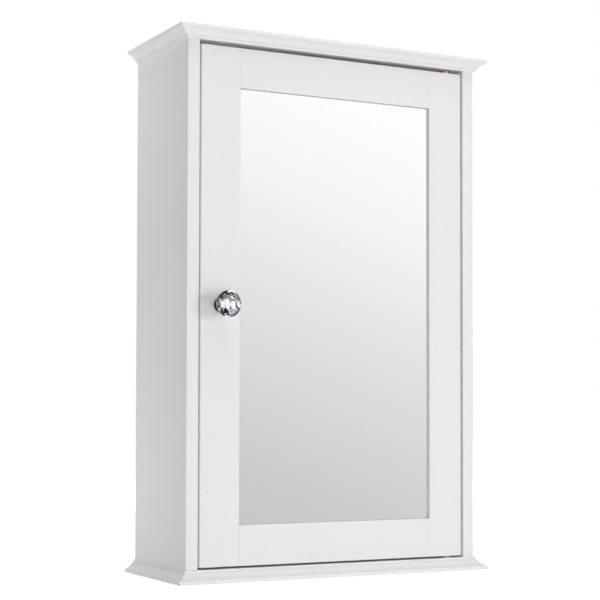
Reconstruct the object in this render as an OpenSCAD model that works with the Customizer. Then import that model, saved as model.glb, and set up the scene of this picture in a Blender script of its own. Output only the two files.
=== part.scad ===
/* [Carcass] */
// Height from the underside of the bottom board to the top of the top board
cabinet_h = 530; // [440:1:760]
// Width over the two side panels
carcass_w = 324; // [260:1:460]
// Depth of the side panels, from the wall to their front edges
carcass_d = 128; // [112:1:200]
// Thickness of the top and bottom boards
board_t = 12.5; // [12:0.5:16]
// Thickness of the side panels
side_t = 12.5; // [12:0.5:16]
// Softening of the painted edges of boards and shelves
edge_r = 0.8; // [0.4:0.1:1.2]

/* [Moulded edge] */
// How far the top and bottom boards stand out past the side panels
overhang = 11; // [9:0.5:16]
// Height of the square nosing at the outer face of a board
nosing_h = 4; // [3:0.5:5]
// Radius of the nosing's two arrises
nosing_r = 1; // [0.4:0.1:1.2]
// Width of the flat steps above and below the cove
quirk_w = 1.6; // [1:0.1:2]
// How far the cove is hollowed behind its chord
cove_sink = 0.8; // [0.6:0.1:1.6]
// How far the bead stands out past the side panels
bead_proud = 1.6; // [1:0.1:2]
// Height of the bead that meets the side panels
bead_h = 2.6; // [2:0.1:3]
// Radius of the bead's lower arris
bead_r = 0.9; // [0.4:0.1:1]

/* [Back] */
// Thickness of the back panel
back_t = 3; // [2.5:0.5:4]
// Thickness of the hanging rail, which is how far the back panel is set in
rail_t = 12.5; // [12:0.5:18]
// Height of the hanging rail
rail_h = 60; // [56:1:90]
// Depth of the grooves that hold the back panel
back_groove_d = 4; // [3:0.5:5]

/* [Hanging plates] */
// Distance between the two hanging plates
hang_spacing = 220; // [150:1:230]
// Radius of the hole that the wall screw's head goes through
keyhole_r = 4.5; // [4:0.1:4.8]
// Half the width of the slot that the wall screw's neck slides up
keyhole_slot_r = 2.25; // [2:0.05:2.4]
// Length of the slot, from the centre of the hole to the centre of its end
keyhole_slot_l = 12; // [10:0.5:13]
// Height of a hanging plate
hanger_h = 50; // [48:1:54]
// Width of a hanging plate
hanger_w = 17; // [15:0.5:19]
// Thickness of a hanging plate
hanger_t = 1.5; // [1.2:0.1:2]
// Depth of the pocket behind a plate that takes the wall screw's head
head_pocket_d = 6; // [5:0.5:8]
// Room round the wall screw's head in that pocket
head_pocket_room = 1; // [0.5:0.1:1.5]
// Radius of the small screws that hold a plate
hanger_screw_r = 1.4; // [1.2:0.1:1.6]
// Radius of their heads
hanger_head_r = 2.7; // [2.4:0.1:3]
// Distance of those screws from the ends of a plate
hanger_screw_inset = 6; // [5:0.5:7]
// Wood left in front of the tip of such a screw
hanger_screw_short = 2; // [1:0.5:4]

/* [Shelves] */
// Clear height of the lower bay
lower_bay_h = 162; // [120:1:180]
// Clear height of the middle bay
middle_bay_h = 162; // [110:1:164]
// Thickness of a shelf
shelf_t = 9; // [8:0.5:12]
// Gap between a shelf's end and the side panel
shelf_end_gap = 1.3; // [1.2:0.1:3]
// Gap between the door's back and a shelf's front edge
shelf_setback = 10; // [9.5:0.5:20]
// Gap between a shelf's back edge and the back panel
shelf_back_gap = 1; // [0.5:0.5:3]
// Distance of the pegs from the front and back edges of a shelf
peg_inset = 20; // [14:1:26]
// Distance between one peg hole and the next
peg_pitch = 32; // [20:1:34]
// Radius of a peg
peg_r = 2.5; // [2:0.1:3]
// How deep a peg goes into the side panel
peg_in = 8; // [6:0.5:9]
// How far a peg's collar stands out round it
peg_collar_w = 1; // [0.6:0.1:1.4]
// Thickness of the collar
peg_collar_t = 1; // [0.7:0.1:1.1]
// Length of the flat tongue that a shelf lies on
peg_tongue_l = 9; // [7:0.5:12]
// Width of the tongue
peg_tongue_w = 6; // [5:0.5:7]
// Thickness of the tongue
peg_tongue_h = 2; // [1.6:0.2:2.4]

/* [Door] */
// Thickness of the door frame
door_t = 15; // [14.5:0.5:18]
// Gap between the door and the side panel beside the knob
latch_gap = 1.6; // [1.4:0.1:3]
// Gap between the door and the side panel beside the pivots
hinge_gap = 2.5; // [2.2:0.1:4]
// Gap above the door
top_gap = 3.6; // [2.5:0.1:5]
// Gap below the door
bottom_gap = 1.8; // [1.5:0.1:3]
// Width of the stile that carries the knob
latch_stile_w = 41.5; // [36:0.5:60]
// Width of the stile that carries the pivots
hinge_stile_w = 38.5; // [36:0.5:60]
// Width of the top and bottom rails of the door
door_rail_w = 39.3; // [34:0.1:60]
// Softening of the outer edges of the door
door_edge_r = 1.2; // [0.6:0.1:1.4]
// Softening of the edges round the mirror and at the joints
inner_edge_r = 0.4; // [0.2:0.1:0.8]
// Radius of the door's corners beside the pivots
hinge_corner_r = 2.6; // [1.4:0.1:4]
// Radius of the door's corners beside the knob
latch_corner_r = 1.4; // [1.4:0.1:4]
// Depth of the groove that holds the centre panel and the rail tenons
panel_groove_d = 8; // [6:0.5:10]
// Thickness of the centre panel
panel_t = 5; // [4:0.5:6]

/* [Mirror] */
// How far the glass lies behind the face of the door
mirror_recess = 3; // [2:0.5:3.5]
// Thickness of the glass
mirror_t = 3; // [2.5:0.5:3]
// Gap between the glass and the frame
mirror_gap = 0.3; // [0.3:0.1:1]
// Radius of the glass's corners
mirror_corner_r = 4; // [2:0.5:8]
// Thickness of the adhesive tape behind the glass
tape_t = 1; // [0.8:0.1:1.2]
// Width of a strip of tape
tape_w = 12; // [8:1:20]
// Distance of the strips' middles from the sides of the opening
tape_in = 32; // [15:1:60]
// Distance of the strips from the ends of the opening
tape_inset = 15; // [10:1:30]

/* [Pivots] */
// Radius of a pivot pin
pin_r = 2.5; // [2:0.1:3]
// Distance of the pivot axis from the edge of the door
pin_inset = 13.7; // [12:0.1:14.5]
// How deep a pin is driven into the stile
pin_in_door = 14; // [10:1:25]
// How deep a pin goes into its bush
pin_in_bush = 7; // [5:0.5:7.5]
// Length of the chamfer at a pin's ends
pin_tip = 0.6; // [0.3:0.1:1]
// Outer radius of a pivot bush
bush_r = 4; // [3.8:0.1:4.5]
// Radius of the bush's flange
bush_flange_r = 4.8; // [4.8:0.1:6]
// Thickness of the bush's flange
bush_flange_t = 0.6; // [0.4:0.1:0.8]
// Thickness of the bush's closed end
bush_floor = 1; // [0.8:0.1:1.2]

/* [Knob] */
// Height of the knob above the lower edge of the door
knob_h = 249.5; // [120:0.5:400]
// Radius of the crystal at its girdle
crystal_r = 12.75; // [11.5:0.25:15]
// Radius of the flat table at the front of the crystal, over its corners
table_r = 7; // [6:0.1:7.5]
// Distance of the table from the face of the door
table_out = 25.5; // [24:0.5:28]
// Height of the crown, from the girdle to the table
crown_h = 5.5; // [4.5:0.1:6]
// Height of the girdle band
girdle_h = 0.8; // [0.5:0.1:1.5]
// Slope of the main facets behind the girdle, in degrees
pavilion_slope = 55; // [50:1:58]
// How much steeper the small facets beside the girdle are, in degrees
girdle_lean = 5; // [3:1:7]
// Distance of the crystal's seat from the face of the door
seat_out = 10.8; // [10.5:0.1:12]
// Radius of the foot of the knob's metal base
foot_r = 7.1; // [6.6:0.1:7.7]
// Height of the foot
foot_h = 1.5; // [1:0.1:1.8]
// Radius of the waist of the knob's metal base
waist_r = 4.2; // [3.6:0.1:4.8]
// Height of the metal under the crystal's seat, down to the waist
cup_floor = 2; // [1.5:0.1:2.2]
// Height of the cup round the crystal
cup_h = 2; // [1.5:0.1:2.5]
// Thickness of the cup
cup_wall = 0.8; // [0.6:0.1:1.2]
// Gap between the corners of the crystal and the cup
cup_gap = 0.2; // [0.1:0.05:0.3]
// Radius of the knob screw
knob_screw_r = 2; // [1.5:0.25:2]
// How deep the knob screw goes into the metal base
knob_screw_in = 7; // [5:0.5:8]
// Clearance round the knob screw in the door
knob_hole_play = 0.25; // [0.1:0.05:0.4]
// Radius of the knob screw's head
knob_head_r = 3.8; // [3.4:0.1:4.4]
// Height of the knob screw's head
knob_head_h = 2.2; // [1.8:0.1:2.6]

/* [Magnetic catch] */
// Distance of the catch's middle from the side panel beside the knob
catch_inset = 26; // [24:1:27]
// Length of the catch's block, without its ears
catch_w = 24; // [20:1:30]
// Height of the catch's block
catch_h = 16; // [15.5:0.5:18]
// Depth of the catch's block
catch_d = 13; // [12:0.5:16]
// Thickness of the block's walls round the magnet
catch_wall = 2; // [1.5:0.25:2.25]
// Length of an ear
ear_l = 9; // [8:0.5:12]
// Width of an ear
ear_w = 9; // [8:0.5:11]
// Thickness of an ear
ear_t = 3; // [2.5:0.5:4]
// Thickness of a pole plate
pole_t = 1.5; // [1:0.25:2]
// How far the pole plates stand out of the block
pole_proud = 0.4; // [0.2:0.1:0.6]
// Thickness of the magnet
magnet_t = 4.5; // [3:0.5:5]
// Thickness of the strike plate on the door
strike_t = 1; // [0.8:0.1:1.5]
// Width of the strike plate
strike_w = 24; // [18:1:24]
// Height of the strike plate
strike_h = 10; // [9:0.5:10]
// Radius of the small screws of the catch and the strike plate
small_screw_r = 1.3; // [1.1:0.1:1.5]
// Length of those screws
small_screw_l = 9; // [7:0.5:11]
// Radius of their heads
small_head_r = 2.4; // [2.1:0.1:2.7]
// Height of their heads
small_head_h = 1; // [0.8:0.1:1.2]
// Width of the crossed recess in a screw's head
recess_w = 0.6; // [0.4:0.1:0.8]

/* [Joinery] */
// Distance of the cam fittings from the front and back edges of a side panel
cam_inset = 30; // [24:1:36]
// Distance of bolts and dowels from the inner face of a side panel
joint_in = 6.2; // [5.6:0.1:6.4]
// Distance of a cam from the end of the side panel
cam_drop = 24; // [18:1:30]
// Radius of a cam
cam_r = 7.3; // [6.5:0.1:7.5]
// Depth of a cam in the side panel
cam_l = 10.2; // [9.8:0.1:10.5]
// Length of the crossed recess in a cam
cam_recess_l = 8; // [6:0.5:9]
// Width of that recess
cam_recess_w = 1.4; // [1:0.1:1.8]
// Depth of that recess
cam_recess_d = 1.8; // [1.2:0.1:2.2]
// Radius of the bolt's head
bolt_head_r = 2.8; // [2.4:0.1:3]
// Height of the bolt's head
bolt_head_h = 3; // [2.4:0.2:3.6]
// Radius of the bolt's neck below its head
bolt_neck_r = 1.5; // [1.2:0.1:1.8]
// Height of the bolt's collar, which stops it on the board
bolt_collar_h = 2; // [1.5:0.1:2.5]
// Clearance round the bolt in the side panel
bolt_bore_play = 0.3; // [0.2:0.05:0.5]
// Radius of the bolt's thread in the board
bolt_thread_r = 2.4; // [2:0.1:2.6]
// Radius of a dowel
dowel_r = 3; // [2.5:0.25:3.5]
// Length of a dowel
dowel_l = 28; // [22:1:36]
// Length of a dowel in the hanging rail
rail_dowel_l = 24; // [20:1:30]
// How deep such a dowel goes into a side panel
rail_dowel_in = 7.5; // [6:0.5:9]
// Distance of such a dowel from the rail's upper or lower edge
rail_dowel_inset = 14; // [10:1:20]
// How deep a blind hole goes into the face of a board
board_hole_d = 9; // [8:0.5:9.5]

/* [Fits] */
// Play between flat faces that slide together
slip = 0.1; // [0.05:0.05:0.2]
// Play between a pin or screw and its hole, on the radius
play = 0.05; // [0.03:0.01:0.08]
// Space left past the end of a dowel or screw
end_gap = 0.5; // [0.3:0.1:0.8]
// Gap between faces that meet when the door is hung and shut
meet_gap = 0.3; // [0.2:0.05:0.4]

/* [Hidden] */
$fn = 64;

paint = "#f1f0ed";
board_back = "#e6e4df";
beech = "#d9b98a";
zinc = "#b9bcc0";
nickel = "#c8c5bd";
chrome = "#9a9ea4";

floor_z = board_t;
ceiling_z = cabinet_h - board_t;
side_h = ceiling_z - floor_z;
inner_w = carcass_w - 2 * side_t;
front_y = -carcass_d;

// The cove is an arc between the bead's step and the nosing's step.
cove_foot = [bead_proud + quirk_w, bead_h];
cove_head = [overhang - quirk_w, board_t - nosing_h];
cove_chord = norm(cove_head - cove_foot);
cove_along = (cove_head - cove_foot) / cove_chord;
cove_r = (pow(cove_chord / 2, 2) + pow(cove_sink, 2)) / (2 * cove_sink);
cove_centre = (cove_foot + cove_head) / 2
    + (cove_r - cove_sink) * [cove_along[1], -cove_along[0]];

back_front_y = -rail_t - 2 * slip - back_t;
rail_z = ceiling_z - rail_h;
hanger_z = rail_z + rail_h / 2;
keyhole_z = hanger_z - keyhole_slot_l / 2;
hanger_screw_z = hanger_h / 2 - hanger_screw_inset;
hanger_screw_l = rail_t - hanger_screw_short;
head_pocket_r = keyhole_r + head_pocket_room;

joint_x = inner_w / 2 + joint_in;
cam_ys = [-cam_inset, -(carcass_d - cam_inset)];
dowel_y = -carcass_d / 2;
bolt_bore_r = bolt_head_r + bolt_bore_play;
rail_dowel_zs = [rail_z + rail_dowel_inset, ceiling_z - rail_dowel_inset];

shelf_lower_z = floor_z + lower_bay_h;
shelf_upper_z = shelf_lower_z + shelf_t + middle_bay_h;
shelf_front_y = front_y + door_t + shelf_setback;
shelf_back_y = back_front_y - shelf_back_gap;
peg_ys = [shelf_back_y - peg_inset, shelf_front_y + peg_inset];
peg_collar_r = peg_r + peg_collar_w;

door_x0 = -inner_w / 2 + latch_gap;
door_x1 = inner_w / 2 - hinge_gap;
door_z0 = floor_z + bottom_gap;
door_z1 = ceiling_z - top_gap;
door_w = door_x1 - door_x0;
door_h = door_z1 - door_z0;
door_back_y = front_y + door_t;
open_x0 = door_x0 + latch_stile_w;
open_x1 = door_x1 - hinge_stile_w;
open_z0 = door_z0 + door_rail_w;
open_z1 = door_z1 - door_rail_w;
panel_y = front_y + mirror_recess + mirror_t + tape_t;
groove_y = panel_y - slip;
groove_w = panel_t + 2 * slip;
in_groove = panel_groove_d - 2 * slip;

pin_x = door_x1 - pin_inset;
pin_y = front_y + door_t / 2;
bush_bore_d = pin_in_bush + meet_gap;
bush_l = bush_bore_d + bush_floor;

knob_x = door_x0 + latch_stile_w / 2;
knob_z = door_z0 + knob_h;
girdle_top = table_out - crown_h;
girdle_bottom = girdle_top - girdle_h;
crown_slope = atan(crown_h / (crystal_r - table_r));
star_slope = crown_slope / 2;
upper_girdle_slope = crown_slope + girdle_lean;
lower_girdle_slope = pavilion_slope + girdle_lean;
seat_r = crystal_r - (girdle_bottom - seat_out) / tan(pavilion_slope);
seat_corner_r = seat_r / cos(22.5);
waist_h = seat_out - cup_floor - foot_h;

catch_x = -inner_w / 2 + catch_inset;
strike_face_y = door_back_y + strike_t;
catch_y = strike_face_y + meet_gap;
pole_w = catch_w - 2 * catch_wall;
pole_d = catch_d - catch_wall;
magnet_z = ceiling_z - catch_h + catch_wall + pole_t;
strike_z = magnet_z + magnet_t / 2 - strike_h / 2;

// What a rounding of radius r takes off a corner whose material lies towards +x and +y
module corner_cut(r) {
    difference() {
        translate([-1, -1]) square(1 + r);
        translate([r, r]) circle(r = r);
    }
}

// Softens an upright edge; turn picks the quarter that the material lies in
module upright_edge(x, y, r, turn) {
    translate([x, y, -1]) rotate(turn) linear_extrude(cabinet_h + 2) corner_cut(r);
}

// Section of a board's moulded edge, x outwards from the side panel's face, y away from the inside
module edge_section(reach) {
    difference() {
        translate([-reach, 0]) square([reach + overhang, board_t]);
        translate([bead_proud, -1]) square([overhang, bead_h + 1]);
        translate([cove_head[0], -1]) square([overhang, cove_head[1] + 1]);
        intersection() {
            translate(cove_centre) circle(r = cove_r);
            translate([cove_foot[0], cove_foot[1] - 1])
                square([cove_head[0] - cove_foot[0] + 1, cove_head[1] - cove_foot[1] + 1]);
        }
        translate([overhang, board_t]) rotate(180) corner_cut(nosing_r);
        translate([overhang, board_t - nosing_h]) rotate(90) corner_cut(nosing_r);
        translate([bead_proud, 0]) rotate(90) corner_cut(bead_r);
    }
}

// What the moulding cutter takes off, in the same section
module edge_waste() {
    difference() {
        translate([-1, -1]) square([overhang + 2, board_t + 2]);
        edge_section(2 * overhang);
    }
}

// A board moulded along its front and both ends, so that the cuts meet in mitres at the corners
module moulded_board() {
    blank = 0.5;
    difference() {
        translate([-carcass_w / 2 - overhang - blank, -carcass_d - overhang - blank, 0])
            cube([carcass_w + 2 * (overhang + blank), carcass_d + overhang + blank, board_t]);
        for (turn = [0, 1]) {
            mirror([turn, 0, 0]) translate([carcass_w / 2, 0, 0]) rotate([90, 0, 0])
                linear_extrude(3 * carcass_d, center = true) edge_waste();
        }
        translate([0, -carcass_d, 0]) rotate([90, 0, -90])
            linear_extrude(2 * carcass_w, center = true) edge_waste();
    }
}

// Stands on the joints between side panels and boards, with +z into the side panel
module at_joints(sides = [-1, 1], ends = ["bottom", "top"]) {
    for (side = sides, end = ends) {
        translate([side * joint_x, 0, end == "top" ? ceiling_z : floor_z])
            mirror([side < 0 ? 1 : 0, 0, 0]) mirror([0, 0, end == "top" ? 1 : 0]) children();
    }
}

module joint_holes_in_board() {
    for (y = cam_ys) {
        translate([0, y, -board_hole_d]) cylinder(r = bolt_thread_r + play, h = board_hole_d + 1);
    }
    translate([0, dowel_y, -board_hole_d]) cylinder(r = dowel_r + play, h = board_hole_d + 1);
}

module joint_holes_in_side() {
    for (y = cam_ys) {
        translate([0, y, -1]) cylinder(r = bolt_bore_r, h = cam_drop + 1);
        translate([-joint_in - 1, y, cam_drop]) rotate([0, 90, 0])
            cylinder(r = cam_r + 2 * play, h = cam_l + 1 + slip);
    }
    translate([0, dowel_y, -1])
        cylinder(r = dowel_r + play, h = dowel_l - board_hole_d + 1 + 2 * end_gap);
}

module back_groove_in_board() {
    groove_l = inner_w + 2 * back_groove_d;
    translate([-groove_l / 2, back_front_y, -back_groove_d])
        cube([groove_l, back_t + 2 * slip, back_groove_d + 1]);
}

module bush_hole() {
    translate([pin_x, pin_y, -1]) cylinder(r = bush_r + play, h = bush_l + end_gap + 1);
}

// The bottom board, its inner face upwards; the top board is its mirror image
module board() {
    difference() {
        translate([0, 0, floor_z]) mirror([0, 0, 1]) moulded_board();
        at_joints(ends = ["bottom"]) joint_holes_in_board();
        translate([0, 0, floor_z]) back_groove_in_board();
        translate([0, 0, floor_z]) mirror([0, 0, 1]) bush_hole();
    }
}

module bottom_board() {
    color(paint) board();
}

module top_board() {
    color(paint) difference() {
        translate([0, 0, cabinet_h]) mirror([0, 0, 1]) board();
        at_ears() cylinder(r = small_screw_r + play, h = small_screw_l + end_gap);
    }
}

module peg_holes(shelf_z) {
    for (y = peg_ys, step = [-1, 0, 1]) {
        translate([inner_w / 2 - 1, y, shelf_z - peg_tongue_h / 2 + step * peg_pitch])
            rotate([0, 90, 0]) cylinder(r = peg_r + play, h = peg_in + 1 + end_gap);
    }
}

// The right-hand side panel; the left one is its mirror image
module side_panel() {
    color(paint) difference() {
        translate([inner_w / 2, front_y, floor_z]) cube([side_t, carcass_d, side_h]);
        translate([inner_w / 2 - 1, back_front_y, floor_z - 1])
            cube([back_groove_d + 1, back_t + 2 * slip, side_h + 2]);
        at_joints(sides = [1]) joint_holes_in_side();
        peg_holes(shelf_lower_z);
        peg_holes(shelf_upper_z);
        for (z = rail_dowel_zs) {
            translate([inner_w / 2 - 1, -rail_t / 2, z]) rotate([0, 90, 0])
                cylinder(r = dowel_r + play, h = rail_dowel_in + 1 + end_gap);
        }
        upright_edge(inner_w / 2, front_y, edge_r / 2, 0);
        upright_edge(carcass_w / 2, front_y, edge_r, 90);
    }
}

module side_panel_left() {
    mirror([1, 0, 0]) side_panel();
}

module side_panel_right() {
    side_panel();
}

module back_panel() {
    reach = back_groove_d - 2 * slip;
    color(board_back)
        translate([-inner_w / 2 - reach, back_front_y + slip, floor_z - reach])
            cube([inner_w + 2 * reach, back_t, side_h + 2 * reach]);
}

// Outline of a hanging plate, grown by the given play
module hanger_outline(grow = 0) {
    r = hanger_w / 2;
    for (end = [-1, 1]) {
        translate([0, end * (hanger_h / 2 - r)]) circle(r = r + grow);
    }
    square([2 * (r + grow), hanger_h - 2 * r], center = true);
}

module keyhole() {
    low = keyhole_z - hanger_z;
    translate([0, low]) circle(r = keyhole_r);
    translate([0, low + keyhole_slot_l]) circle(r = keyhole_slot_r);
    translate([-keyhole_slot_r, low]) square([2 * keyhole_slot_r, keyhole_slot_l]);
}

module head_pocket() {
    low = keyhole_z - hanger_z;
    for (z = [low, low + keyhole_slot_l]) {
        translate([0, z]) circle(r = head_pocket_r);
    }
    translate([-head_pocket_r, low]) square([2 * head_pocket_r, keyhole_slot_l]);
}

module at_hangers() {
    for (side = [-1, 1]) {
        translate([side * hang_spacing / 2, 0, hanger_z]) rotate([90, 0, 0]) children();
    }
}

// A countersunk screw, its head's face at the origin and its point towards +z
module screw(r, head_r, head_h, l) {
    difference() {
        union() {
            cylinder(r = r, h = l);
            cylinder(r1 = head_r, r2 = r, h = head_h);
        }
        for (turn = [0, 90]) {
            rotate(turn) cube([head_r, recess_w, head_h], center = true);
        }
    }
}

// The hole that such a screw goes into
module screw_hole(r, head_r, head_h, l) {
    translate([0, 0, -1]) cylinder(r = head_r + play, h = 1);
    cylinder(r1 = head_r + play, r2 = r + play, h = head_h);
    cylinder(r = r + play, h = l + end_gap);
}

module at_hanger_screws() {
    for (end = [-1, 1]) {
        translate([0, end * hanger_screw_z, 0]) children();
    }
}

module hanger_screw_hole() {
    screw_hole(hanger_screw_r, hanger_head_r, hanger_t, hanger_screw_l);
}

module hanging_rail() {
    color(board_back) difference() {
        translate([-inner_w / 2, -rail_t, rail_z]) cube([inner_w, rail_t, rail_h]);
        at_hangers() {
            translate([0, 0, -1]) linear_extrude(hanger_t + 1) hanger_outline(slip);
            translate([0, 0, -1]) linear_extrude(hanger_t + head_pocket_d + 1) head_pocket();
            at_hanger_screws() hanger_screw_hole();
        }
        for (side = [-1, 1], z = rail_dowel_zs) {
            translate([side * inner_w / 2, -rail_t / 2, z]) rotate([0, -side * 90, 0])
                translate([0, 0, -1])
                    cylinder(r = dowel_r + play, h = rail_dowel_l - rail_dowel_in + 1 + end_gap);
        }
    }
}

module hanger_plates() {
    color(zinc) at_hangers() difference() {
        linear_extrude(hanger_t) difference() {
            hanger_outline();
            keyhole();
        }
        at_hanger_screws() hanger_screw_hole();
    }
}

module hanger_screws() {
    color(zinc) at_hangers() at_hanger_screws()
        screw(hanger_screw_r, hanger_head_r, hanger_t, hanger_screw_l);
}

module rail_dowels() {
    color(beech) for (side = [-1, 1], z = rail_dowel_zs) {
        translate([side * (inner_w / 2 + rail_dowel_in), -rail_t / 2, z])
            rotate([0, -side * 90, 0]) cylinder(r = dowel_r, h = rail_dowel_l);
    }
}

module carcass_dowels() {
    color(beech) at_joints()
        translate([0, dowel_y, end_gap - board_hole_d]) cylinder(r = dowel_r, h = dowel_l);
}

module cam_bolts() {
    head_z = cam_drop - bolt_head_h / 2;
    shank_r = (bolt_head_r + bolt_neck_r) / 2;
    taper = bolt_head_r - bolt_neck_r;
    color(zinc) at_joints() for (y = cam_ys) {
        translate([0, y, 0]) rotate_extrude() polygon([
            [0, end_gap - board_hole_d], [bolt_thread_r, end_gap - board_hole_d],
            [bolt_thread_r, 0], [bolt_head_r, 0], [bolt_head_r, bolt_collar_h],
            [shank_r, bolt_collar_h], [shank_r, cam_drop - cam_r],
            [bolt_neck_r, cam_drop - cam_r + taper], [bolt_neck_r, head_z],
            [bolt_head_r, head_z + taper / 2],
            [bolt_head_r, head_z + bolt_head_h], [0, head_z + bolt_head_h]]);
    }
}

// A cam: a drum with a channel for the bolt's head and a crossed driver recess
module cam_locks() {
    color(zinc) at_joints() for (y = cam_ys) {
        translate([0, y, cam_drop]) difference() {
            translate([-joint_in, 0, 0]) rotate([0, 90, 0]) cylinder(r = cam_r, h = cam_l);
            translate([0, 0, -cam_r - 1]) cylinder(r = bolt_bore_r, h = cam_r + 1 + bolt_head_h);
            for (turn = [45, 135]) {
                translate([-joint_in, 0, 0]) rotate([turn, 0, 0])
                    cube([2 * cam_recess_d, cam_recess_w, cam_recess_l], center = true);
            }
        }
    }
}

module shelf(shelf_z) {
    w = inner_w - 2 * shelf_end_gap;
    d = shelf_back_y - shelf_front_y;
    color(paint) difference() {
        translate([-w / 2, shelf_front_y, shelf_z]) cube([w, d, shelf_t]);
        for (top = [0, 1]) {
            translate([0, shelf_front_y, shelf_z + top * shelf_t])
                rotate([90, 0, 90]) rotate(-90 * top)
                    linear_extrude(inner_w, center = true) corner_cut(edge_r);
        }
    }
}

module shelf_lower() {
    shelf(shelf_lower_z);
}

module shelf_upper() {
    shelf(shelf_upper_z);
}

// Four spoon-shaped pegs under one shelf
module shelf_pegs(shelf_z) {
    color(nickel) for (side = [-1, 1], y = peg_ys) {
        translate([side * inner_w / 2, y, shelf_z - peg_tongue_h / 2])
            mirror([side < 0 ? 1 : 0, 0, 0]) {
                rotate([0, 90, 0]) cylinder(r = peg_r, h = peg_in);
                translate([-peg_collar_t, 0, 0]) rotate([0, 90, 0])
                    cylinder(r = peg_collar_r, h = peg_collar_t);
                translate([-peg_collar_t - peg_tongue_l, -peg_tongue_w / 2, -peg_tongue_h / 2])
                    cube([peg_tongue_l + peg_collar_t / 2, peg_tongue_w, peg_tongue_h]);
            }
    }
}

module shelf_pegs_lower() {
    shelf_pegs(shelf_lower_z);
}

module shelf_pegs_upper() {
    shelf_pegs(shelf_upper_z);
}

// A flanged bush pressed into the bottom board; the top one is turned over
module pivot_bush() {
    color("#a9713f") translate([pin_x, pin_y, 0]) difference() {
        union() {
            translate([0, 0, -bush_l]) cylinder(r = bush_r, h = bush_l);
            cylinder(r = bush_flange_r, h = bush_flange_t);
        }
        translate([0, 0, -bush_bore_d])
            cylinder(r = pin_r + play, h = bush_bore_d + bush_flange_t + 1);
    }
}

module pivot_bush_bottom() {
    translate([0, 0, floor_z]) pivot_bush();
}

module pivot_bush_top() {
    translate([0, 0, ceiling_z]) mirror([0, 0, 1]) pivot_bush();
}

// A pin from inside the bush, past the gap, into the end of the stile
module pivot_pin(gap) {
    l = pin_in_bush + gap + pin_in_door;
    color(nickel) translate([pin_x, pin_y, -pin_in_bush]) {
        cylinder(r1 = pin_r - pin_tip, r2 = pin_r, h = pin_tip);
        translate([0, 0, pin_tip]) cylinder(r = pin_r, h = l - 2 * pin_tip);
        translate([0, 0, l - pin_tip]) cylinder(r1 = pin_r, r2 = pin_r - pin_tip, h = pin_tip);
    }
}

module pivot_pin_bottom() {
    translate([0, 0, floor_z]) pivot_pin(bottom_gap);
}

module pivot_pin_top() {
    translate([0, 0, ceiling_z]) mirror([0, 0, 1]) pivot_pin(top_gap);
}

// Outline of the door seen from the front, with its rounded corners
module door_outline() {
    difference() {
        translate([door_x0, door_z0]) square([door_w, door_h]);
        translate([door_x0, door_z0]) corner_cut(latch_corner_r);
        translate([door_x0, door_z1]) rotate(-90) corner_cut(latch_corner_r);
        translate([door_x1, door_z0]) rotate(90) corner_cut(hinge_corner_r);
        translate([door_x1, door_z1]) rotate(180) corner_cut(hinge_corner_r);
    }
}

// Section of the door slab with its four long edges softened
module slab_section(from, size) {
    difference() {
        translate([from, front_y]) square([size, door_t]);
        translate([from, front_y]) corner_cut(door_edge_r);
        translate([from + size, front_y]) rotate(90) corner_cut(door_edge_r);
        translate([from, door_back_y]) rotate(-90) corner_cut(door_edge_r);
        translate([from + size, door_back_y]) rotate(180) corner_cut(door_edge_r);
    }
}

// The space of the whole door, which trims the outer edges of its stiles and rails
module door_slab() {
    intersection() {
        translate([0, door_back_y, 0]) rotate([90, 0, 0]) linear_extrude(door_t) door_outline();
        translate([0, 0, door_z0]) linear_extrude(door_h) slab_section(door_x0, door_w);
        rotate([0, -90, 0]) linear_extrude(2 * carcass_w, center = true)
            slab_section(door_z0, door_h);
    }
}

module pin_hole(z) {
    translate([pin_x, pin_y, z])
        cylinder(r = pin_r + play, h = 2 * (pin_in_door + end_gap), center = true);
}

module door_stile_latch() {
    color(paint) difference() {
        intersection() {
            translate([door_x0, front_y, door_z0]) cube([latch_stile_w, door_t, door_h]);
            door_slab();
        }
        translate([open_x0 - panel_groove_d, groove_y, door_z0 - 1])
            cube([panel_groove_d + 1, groove_w, door_h + 2]);
        upright_edge(open_x0, front_y, inner_edge_r, 90);
        translate([knob_x, front_y - 1, knob_z]) rotate([-90, 0, 0])
            cylinder(r = knob_screw_r + knob_hole_play, h = door_t + 2);
        at_strike() screw_hole(small_screw_r, small_head_r, small_head_h, small_screw_l);
    }
}

module door_stile_hinge() {
    color(paint) difference() {
        intersection() {
            translate([open_x1, front_y, door_z0]) cube([hinge_stile_w, door_t, door_h]);
            door_slab();
        }
        translate([open_x1 - 1, groove_y, door_z0 - 1])
            cube([panel_groove_d + 1, groove_w, door_h + 2]);
        upright_edge(open_x1, front_y, inner_edge_r, 0);
        pin_hole(door_z0);
        pin_hole(door_z1);
    }
}

// The bottom rail of the door with its two stub tenons; the top rail is turned over by flip
module door_rail(lift, flip) {
    translate([0, 0, lift]) mirror([0, 0, flip]) difference() {
        union() {
            translate([open_x0, front_y, 0]) cube([open_x1 - open_x0, door_t, door_rail_w]);
            translate([open_x0 - in_groove, panel_y, 0])
                cube([open_x1 - open_x0 + 2 * in_groove, panel_t, door_rail_w - panel_groove_d]);
        }
        translate([open_x0 - panel_groove_d - 1, groove_y, door_rail_w - panel_groove_d])
            cube([open_x1 - open_x0 + 2 * panel_groove_d + 2, groove_w, panel_groove_d + 1]);
        translate([0, front_y, door_rail_w]) rotate([90, 0, 90]) rotate(-90)
            linear_extrude(2 * carcass_w, center = true) corner_cut(inner_edge_r);
    }
}

module door_rail_bottom() {
    color(paint) intersection() {
        door_rail(door_z0, 0);
        door_slab();
    }
}

module door_rail_top() {
    color(paint) intersection() {
        door_rail(door_z1, 1);
        door_slab();
    }
}

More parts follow.
